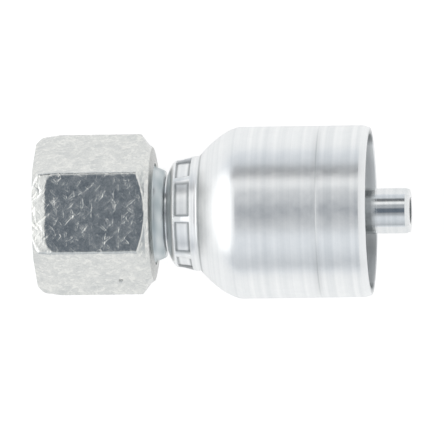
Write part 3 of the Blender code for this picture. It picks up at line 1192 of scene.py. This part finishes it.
@dataclass
class CrimpShell(TurnedPiece):
    """Shell with its swaged collar, die marks, shoulder and toothed pocket."""

    name: ClassVar[str] = "shell_body"
    body: ClassVar[Body] = Body.FIXED
    node: ClassVar[str] = "crimp_shell"
    slot: ClassVar[Slot] = Slot.SHELL
    start: float = 16.5 * MM
    length: float = 25.4 * MM
    radius: float = 10.775 * MM
    wall: float = 1.1 * MM
    bevel_length: float = 0.84 * MM
    bevel_depth: float = 0.25 * MM
    collar_radius: float = 6.725 * MM
    collar_rise: float = 0.07 * MM
    face_length: float = 1.1 * MM
    face_radius: float = 4.97 * MM
    face_fullness: float = 1.8
    band_radius: float = 7.125 * MM
    band_start: float = 1.95 * MM
    band_rise: float = 1.2 * MM
    root_radius: float = 7.225 * MM
    collar_length: float = 4.0 * MM
    crease_depth: float = 0.06 * MM
    crease_length: float = 0.3 * MM
    shoulder_length: float = 5.25 * MM
    shoulder_fullness: float = 1.68
    mark_count: int = 8
    mark_start: float = 1.2 * MM
    mark_length: float = 1.8 * MM
    mark_front_depth: float = 0.38 * MM
    mark_rear_depth: float = 0.15 * MM
    rib_width: float = 0.7 * MM
    rib_turn: float = radians(7.2)
    mark_flank: float = 0.07 * MM
    scribe_station: float = 35.7 * MM
    scribe_depth: float = 0.015 * MM
    scribe_width: float = 0.16 * MM
    scribe_gaps: float = 0.45
    scribe_gap_count: int = 4
    scribe_turn: float = radians(138)
    # Painted shade in the scribed line and the crease, at the die marks' edges, and inside the mouth
    # towards its tips and towards -Y.
    scribe_shade: PaintedShadeLine = PaintedShadeLine(35.7 * MM, 0.04 * MM, 0.12 * MM, 0.5)
    crease_shade: PaintedShadeLine = PaintedShadeLine(20.75 * MM, 0.05 * MM, 0.2 * MM, 0.55)
    mark_edge_shade: float = 0.85
    mark_edge_shade_reach: tuple[float, float] = (0.1 * MM, 0.38 * MM)
    mouth_tips: tuple[float, float] = (0.84, 0.97)
    mouth_tip_shade: float = 0.9
    mouth_low: float = 0.4
    mouth_low_shade: float = 0.5
    unshaded_depth: float = 0.6 * MM
    bore_radius: float = 4.76 * MM
    key_inset: float = 0.87 * MM
    key_length: float = 1.26 * MM
    key_height: float = 0.35 * MM
    floor_inset: float = 4.3 * MM
    floor_radius: float = 6.0 * MM
    corner_length: float = 5.4 * MM
    tooth_height: float = 0.5 * MM
    tooth_pitch: float = 3.0 * MM
    tooth_land: float = 0.5 * MM
    tooth_flank: float = 0.4 * MM
    tooth_start_inset: float = 10.3 * MM
    tooth_end_inset: float = 2.4 * MM
    edge_radius: float = 0.12 * MM
    press_share: float = 0.9
    collar_margin: float = 0.6 * MM
    bore_margin: float = 1.0 * MM
    collar_step: float = 0.07 * MM
    row_length: float = 0.6 * MM
    columns: int = 320
    finish: ZincFinish = field(
        default_factory=lambda: ZincFinish(
            name="shell_zinc_plate",
            light=(0.93, 0.94, 0.94),
            dark=(0.77, 0.79, 0.80),
            smooth=0.28,
            dull=0.38,
            brushing=0.5,
            # Colour of the painted shade on the shell.
            painted_shade=(0.30, 0.32, 0.33),
            banding=0.65,
            ring_depth=0.007 * MM,
            ring_scale=5200.0,
            grain_depth=0.002 * MM,
            inside_radius=9.8 * MM,
            inside_start=24.0 * MM,
            # Painted light inside the mouth: its colour is set to 1.15 of the dark colour, a fixed level
            # for the light inside the shell.
            inside_shade=1.15,
        )
    )

    @property
    def end(self) -> float:
        """Station of the open end."""
        return self.start + self.length

    @property
    def mark_ends(self) -> Point:
        """Stations at which the die marks start and end."""
        first = self.start + self.mark_start
        return first, first + self.mark_length

    def from_rib(self, angle: float, radius: float) -> float:
        """Distance round the collar from the middle of the nearest rib between two marks."""
        pitch = 2 * pi / self.mark_count
        return abs((angle - self.rib_turn + pitch / 2) % pitch - pitch / 2) * radius

    def outside(self) -> list[Point]:
        """Outside of the shell, from the collar's face to the open end."""
        band_start = self.start + self.band_start
        collar_end = self.start + self.collar_length
        face_end = (self.start + self.face_length, self.collar_radius - self.collar_rise)
        front = full_curve((self.start, self.face_radius), face_end, self.face_fullness, steps=10)
        front += [
            (band_start, self.collar_radius + self.collar_rise),
            (band_start + self.band_rise, self.band_radius),
            (collar_end - self.crease_length, self.root_radius),
            (collar_end - self.crease_length / 2, self.root_radius - self.crease_depth),
        ]
        shoulder_end = (collar_end + self.shoulder_length, self.radius)
        foot = (collar_end, self.root_radius)
        shoulder = full_curve(foot, shoulder_end, self.shoulder_fullness, steps=32)
        scribe = [
            (self.scribe_station - self.scribe_width / 2, self.radius),
            (self.scribe_station, self.radius - self.scribe_depth),
            (self.scribe_station + self.scribe_width / 2, self.radius),
        ]
        bevel = [(self.end - self.bevel_length, self.radius), (self.end, self.radius - self.bevel_depth)]
        return front + shoulder + scribe + bevel

    def teeth(self) -> list[Point]:
        """Ring-shaped teeth that bite the hose cover."""
        inner = self.radius - self.wall
        start = self.start + self.tooth_start_inset
        length = 2 * self.tooth_flank + self.tooth_land
        count = int((self.end - self.tooth_end_inset - length - start) / self.tooth_pitch) + 1
        points = []
        for i in range(count):
            foot = start + i * self.tooth_pitch
            land = foot + self.tooth_flank
            points += [(foot, inner), (land, inner - self.tooth_height)]
            points += [(land + self.tooth_land, inner - self.tooth_height), (foot + length, inner)]
        return points

    def inside(self) -> list[Point]:
        """Swaged collar bore, rounded floor and toothed wall."""
        inner = self.radius - self.wall
        floor = self.start + self.floor_inset
        key = self.start + self.key_inset
        flank = self.key_height / 2
        collar = [
            (self.start, self.bore_radius),
            (key, self.bore_radius),
            (key + flank, self.bore_radius - self.key_height),
            (key + self.key_length - flank, self.bore_radius - self.key_height),
            (key + self.key_length, self.bore_radius),
            (floor, self.bore_radius),
        ]
        corner_end = (floor + self.corner_length, inner)
        corner = full_curve((floor, self.floor_radius), corner_end, self.shoulder_fullness, steps=16)
        return collar + corner + self.teeth() + [(self.end, inner)]

    def radius_at(self, angle: float, station: float, radius: float) -> float:
        """Press the die marks into the collar."""
        first, last = self.mark_ends
        flank = self.mark_flank
        if radius < self.press_share * self.collar_radius or not first - flank < station < last + flank:
            return radius
        rib = self.rib_width / 2
        across = soft_step(self.from_rib(angle, radius), rib, rib + flank)
        along = soft_step(station, first - flank, first)
        along *= 1 - soft_step(station, last, last + flank)
        share = (station - first) / self.mark_length
        floor = self.collar_radius - self.mark_front_depth * (1 - share) - self.mark_rear_depth * share
        return radius - max(0.0, radius - floor) * across * along

    def painted_shade_at(self, angle: float, station: float, radius: float) -> float:
        """Painted shade at the edges in the die marks, in the crease, in the scribed line and in parts of
        the mouth.
        """
        # Inside the mouth: painted shade towards the tips of the visible inside and towards -Y.
        if station > self.finish.inside_start and radius < self.radius - self.wall / 2:
            tips = self.mouth_tip_shade * soft_step(abs(sin(angle)), *self.mouth_tips)
            return max(tips, self.mouth_low_shade * soft_step(-sin(angle), 0.0, self.mouth_low))
        if radius < self.collar_radius - self.unshaded_depth:
            return 0.0
        wave = cos(self.scribe_gap_count * (angle - self.scribe_turn))
        uneven = 1 - self.scribe_gaps + self.scribe_gaps * wave
        lines = max(self.crease_shade.at(station), uneven * self.scribe_shade.at(station))
        return max(lines, self.mark_edge_shade * self.mark_edge(angle, station))

    def mark_edge(self, angle: float, station: float) -> float:
        """Nearness of a place in a die mark to the mark's edge.

        Args:
            angle: Angle round the axis.
            station: Station along the axis.

        Returns:
            A share that is 1 at the foot of the mark's walls and 0 away from them.
        """
        first, last = self.mark_ends
        if not first < station < last:
            return 0.0
        within = self.from_rib(angle, self.collar_radius) - self.rib_width / 2
        nearest = min(station - first, last - station, within)
        return (1 - soft_step(nearest, *self.mark_edge_shade_reach)) * soft_step(within, 0.0, self.mark_flank)

    def row_step(self, station: float, radius: float) -> float:
        """Short chords on the collar's outside."""
        collar_end = self.start + self.collar_length + self.collar_margin
        marked = station < collar_end and radius > self.bore_radius + self.bore_margin
        return self.collar_step if marked else self.row_length


@dataclass
class LightTent:
    """White table and tent with a dark opening overhead, as the world and a floor.

    Angles are those of a direction: its side angle turns about the fitting's length from
    straight up towards +Y, and its length angle leans towards +X.

    Attributes:
        white: Level of the tent's walls.
        core: Colour of the dark middle of the opening.
        core_angle: Angle from its middle at which it ends.
        core_lean: Length angle of its middle.
        side_levels: Side angles in degrees and the level of the tent at each.
        tint: Colour of the grey parts of the tent, as shares of their level.
        opening_reach: Length angles at which these levels start and end.
        opening_bow: How far their start moves towards the nut at either side.
        lamp: Strength of the lamp at the nut's end, as a share of the tent's.
        lamp_reach: Parts along +X of the directions at which it starts and is full.
        lamp_height: Heights of the directions between which it fades in.
        horizon: Strength of the tent at the level of the table.
        horizon_height: Height of the directions at which it has its full strength again.
        blend: Half of the angle over which the opening and its core begin and end.
        tint_limit: Level from which the tent is white, without its tint.
        floor_size: Side of the table.
        floor_glow: Light of the table towards the camera.
        floor_mirror: Light of the table in reflections.
        floor_matt: Colour of the table's matt surface, which keeps the shadow.
    """

    white: float = 1.0
    core: tuple[float, float, float] = (0.15, 0.178, 0.215)
    core_angle: float = radians(12)
    core_lean: float = radians(-9.7)
    side_levels: tuple[tuple[float, float], ...] = (
        (-90, 0.96),
        (-84, 0.8),
        (-78, 0.52),
        (-68, 0.68),
        (-45, 0.82),
        (-32, 0.8),
        (-20, 0.45),
        (-4, 0.42),
        (6, 0.5),
        (29, 0.5),
        (35, 1.05),
        (44, 1.05),
        (50, 0.2),
        (62, 0.2),
        (67, 0.78),
        (80, 0.76),
        (88, 0.93),
    )
    tint: tuple[float, float, float] = (0.96, 1.0, 1.05)
    opening_reach: tuple[float, float] = (radians(-22), radians(16))
    opening_bow: float = 0.22
    lamp: float = 1.7
    lamp_reach: tuple[float, float] = (-0.57, -0.68)
    lamp_height: tuple[float, float] = (0.0, 0.25)
    horizon: float = 0.93
    horizon_height: float = 0.2
    blend: float = radians(3)
    tint_limit: float = 0.98
    floor_size: float = 1.6
    floor_glow: float = 0.8
    floor_mirror: float = 0.68
    floor_matt: float = 0.35

    def build(self) -> None:
        """Build the world and the floor."""
        self.build_world()
        self.build_floor()

    def build_world(self) -> None:
        """Tent walls for light and reflections, plain white for the camera."""
        world = bpy.data.worlds.new("light_tent")
        bpy.context.scene.world = world
        world.use_nodes = True
        sheet = NodeSheet(world.node_tree)
        ground = world.node_tree.nodes["Background"]
        output = world.node_tree.nodes["World Output"]
        direction = sheet.add("TexCoord").outputs["Generated"]
        along, across, up = sheet.split(direction)
        towards = sheet.add("VectorMath", operation="DOT_PRODUCT")
        sheet.link(direction, towards.inputs[0])
        towards.inputs[1].default_value = (sin(self.core_lean), 0, cos(self.core_lean))
        from_core = sheet.math("ARCCOSINE", towards.outputs["Value"])
        side = sheet.math("ARCTAN2", across, up)
        length = sheet.math("ARCSINE", along)
        start, end = self.opening_reach
        bowed = sheet.plus(length, sheet.math("MULTIPLY", side, side), self.opening_bow)
        after = sheet.remap(bowed, start - self.blend, start + self.blend)
        before = sheet.remap(length, end - self.blend, end + self.blend, 1.0, 0.0)
        core = sheet.remap(from_core, self.core_angle - self.blend, self.core_angle + self.blend, 1.0, 0.0)
        opening = sheet.math("MULTIPLY", after, before)
        colour = sheet.mix(opening, (self.white,) * 3, self.side_colour(sheet, side))
        colour = sheet.mix(core, colour, self.core)
        sheet.link(colour, ground.inputs["Color"])
        lit = sheet.remap(along, *self.lamp_reach, 0.0, self.lamp - 1)
        lit = sheet.math("MULTIPLY", lit, sheet.remap(up, *self.lamp_height))
        low = sheet.remap(up, 0.0, self.horizon_height, self.horizon, 1.0)
        strength = sheet.math("MULTIPLY", sheet.math("ADD", lit, 1.0), low)
        sheet.link(strength, ground.inputs["Strength"])
        plain = sheet.add("Background", strength=1.0)
        plain.inputs["Color"].default_value = (1, 1, 1, 1)
        choice = sheet.add("MixShader")
        rays = sheet.add("LightPath")
        sheet.link(rays.outputs["Is Camera Ray"], choice.inputs[0])
        sheet.link(ground.outputs[0], choice.inputs[1])
        sheet.link(plain.outputs[0], choice.inputs[2])
        sheet.link(choice.outputs[0], output.inputs["Surface"])

    def side_colour(self, sheet: NodeSheet, side: bpy.types.NodeSocket) -> bpy.types.NodeSocket:
        """Colour of the tent by side angle.

        Args:
            sheet: The world's node sheet.
            side: Side angle of the direction.

        Returns:
            The colour.
        """
        ramp = sheet.add("ValToRGB")
        elements = ramp.color_ramp.elements
        first, last = self.side_levels[0][0], self.side_levels[-1][0]
        while len(elements) < len(self.side_levels):
            elements.new(0.5)
        for element, (angle, level) in zip(elements, self.side_levels):
            element.position = (angle - first) / (last - first)
            tint = [part if level < self.tint_limit else 1.0 for part in self.tint]
            element.color = (*(level * part for part in tint), 1)
        sheet.link(sheet.remap(side, radians(first), radians(last)), ramp.inputs["Fac"])
        return ramp.outputs["Color"]

    def build_floor(self) -> None:
        """White table that keeps a faint shadow."""
        bm = bmesh.new()
        bmesh.ops.create_grid(bm, x_segments=4, y_segments=4, size=self.floor_size / 2)
        mesh = bpy.data.meshes.new("table_top")
        bm.to_mesh(mesh)
        bm.free()
        floor = bpy.data.objects.new("table_top", mesh)
        bpy.context.scene.collection.objects.link(floor)
        material = bpy.data.materials.new("table_white")
        material.use_nodes = True
        sheet = NodeSheet(material.node_tree)
        material.node_tree.nodes.remove(material.node_tree.nodes["Principled BSDF"])
        matt = sheet.add("BsdfDiffuse")
        matt.inputs["Color"].default_value = (*(self.floor_matt,) * 3, 1)
        glow = sheet.add("Emission")
        rays = sheet.add("LightPath")
        seen = sheet.math("MULTIPLY", rays.outputs["Is Camera Ray"], self.floor_glow)
        for title in ("Is Glossy Ray", "Is Transmission Ray"):
            mirrored = sheet.math("MULTIPLY", rays.outputs[title], self.floor_mirror)
            seen = sheet.math("MAXIMUM", seen, mirrored)
        sheet.link(seen, glow.inputs["Strength"])
        both = sheet.add("AddShader")
        sheet.link(matt.outputs[0], both.inputs[0])
        sheet.link(glow.outputs[0], both.inputs[1])
        sheet.link(both.outputs[0], material.node_tree.nodes["Material Output"].inputs["Surface"])
        mesh.materials.append(material)


@dataclass
class OverheadCamera:
    """Long lens straight above the fitting.

    Attributes:
        frame_pixels: Width of the photograph's frame.
        pixel: Real size of a pixel at the height of the fitting's axis.
        roll: Turn of the picture about the line of sight.
        nut_face_pixel: Place of the centre of the nut's front face in the frame.
        lean: Small angle by which the line of sight leans away from straight down.
        distance: From the camera to the fitting.
        sensor: Width of the sensor in millimetres.
    """

    frame_pixels: int = 444
    pixel: float = 0.1254 * MM
    roll: float = radians(-0.66)
    nut_face_pixel: tuple[float, float] = (38.0, 215.6)
    lean: float = radians(1.4)
    distance: float = 2.5
    sensor: float = 36.0

    def build(self, axis: FittingAxis) -> bpy.types.Object:
        """Build the camera and make it the scene's camera.

        Args:
            axis: The fitting's axis.

        Returns:
            The camera object.
        """
        data = bpy.data.cameras.new("overhead_camera")
        data.sensor_width = self.sensor
        data.lens = self.sensor * self.distance / (self.frame_pixels * self.pixel)
        data.clip_end = 2 * self.distance
        turn = Matrix.Rotation(self.lean, 4, "X") @ Matrix.Rotation(self.roll, 4, "Z")
        half = self.frame_pixels / 2
        along = (self.nut_face_pixel[0] - half) * self.pixel
        above = (half - self.nut_face_pixel[1]) * self.pixel
        offset = turn @ Vector((-along, -above, self.distance))
        camera = bpy.data.objects.new("overhead_camera", data)
        camera.matrix_world = Matrix.Translation(axis.start + offset) @ turn
        bpy.context.scene.collection.objects.link(camera)
        bpy.context.scene.camera = camera
        return camera


def main() -> None:
    """Build the fitting, its surroundings and the camera."""
    logging.basicConfig(level=logging.INFO, format="%(name)s %(message)s")
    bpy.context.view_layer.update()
    bpy.context.scene.view_settings.view_transform = "Standard"
    wire = RetainingWire()
    axis = FittingAxis.from_joint(frame["joints"][0], wire.station)
    effects = Effects.build()
    SwivelNut(wire).build(axis, effects)
    wire.build(axis, effects)
    HoseStem(wire).build(axis, effects)
    CrimpShell().build(axis, effects)
    LightTent().build()
    OverheadCamera().build(axis)


if __name__ == "__main__":
    main()
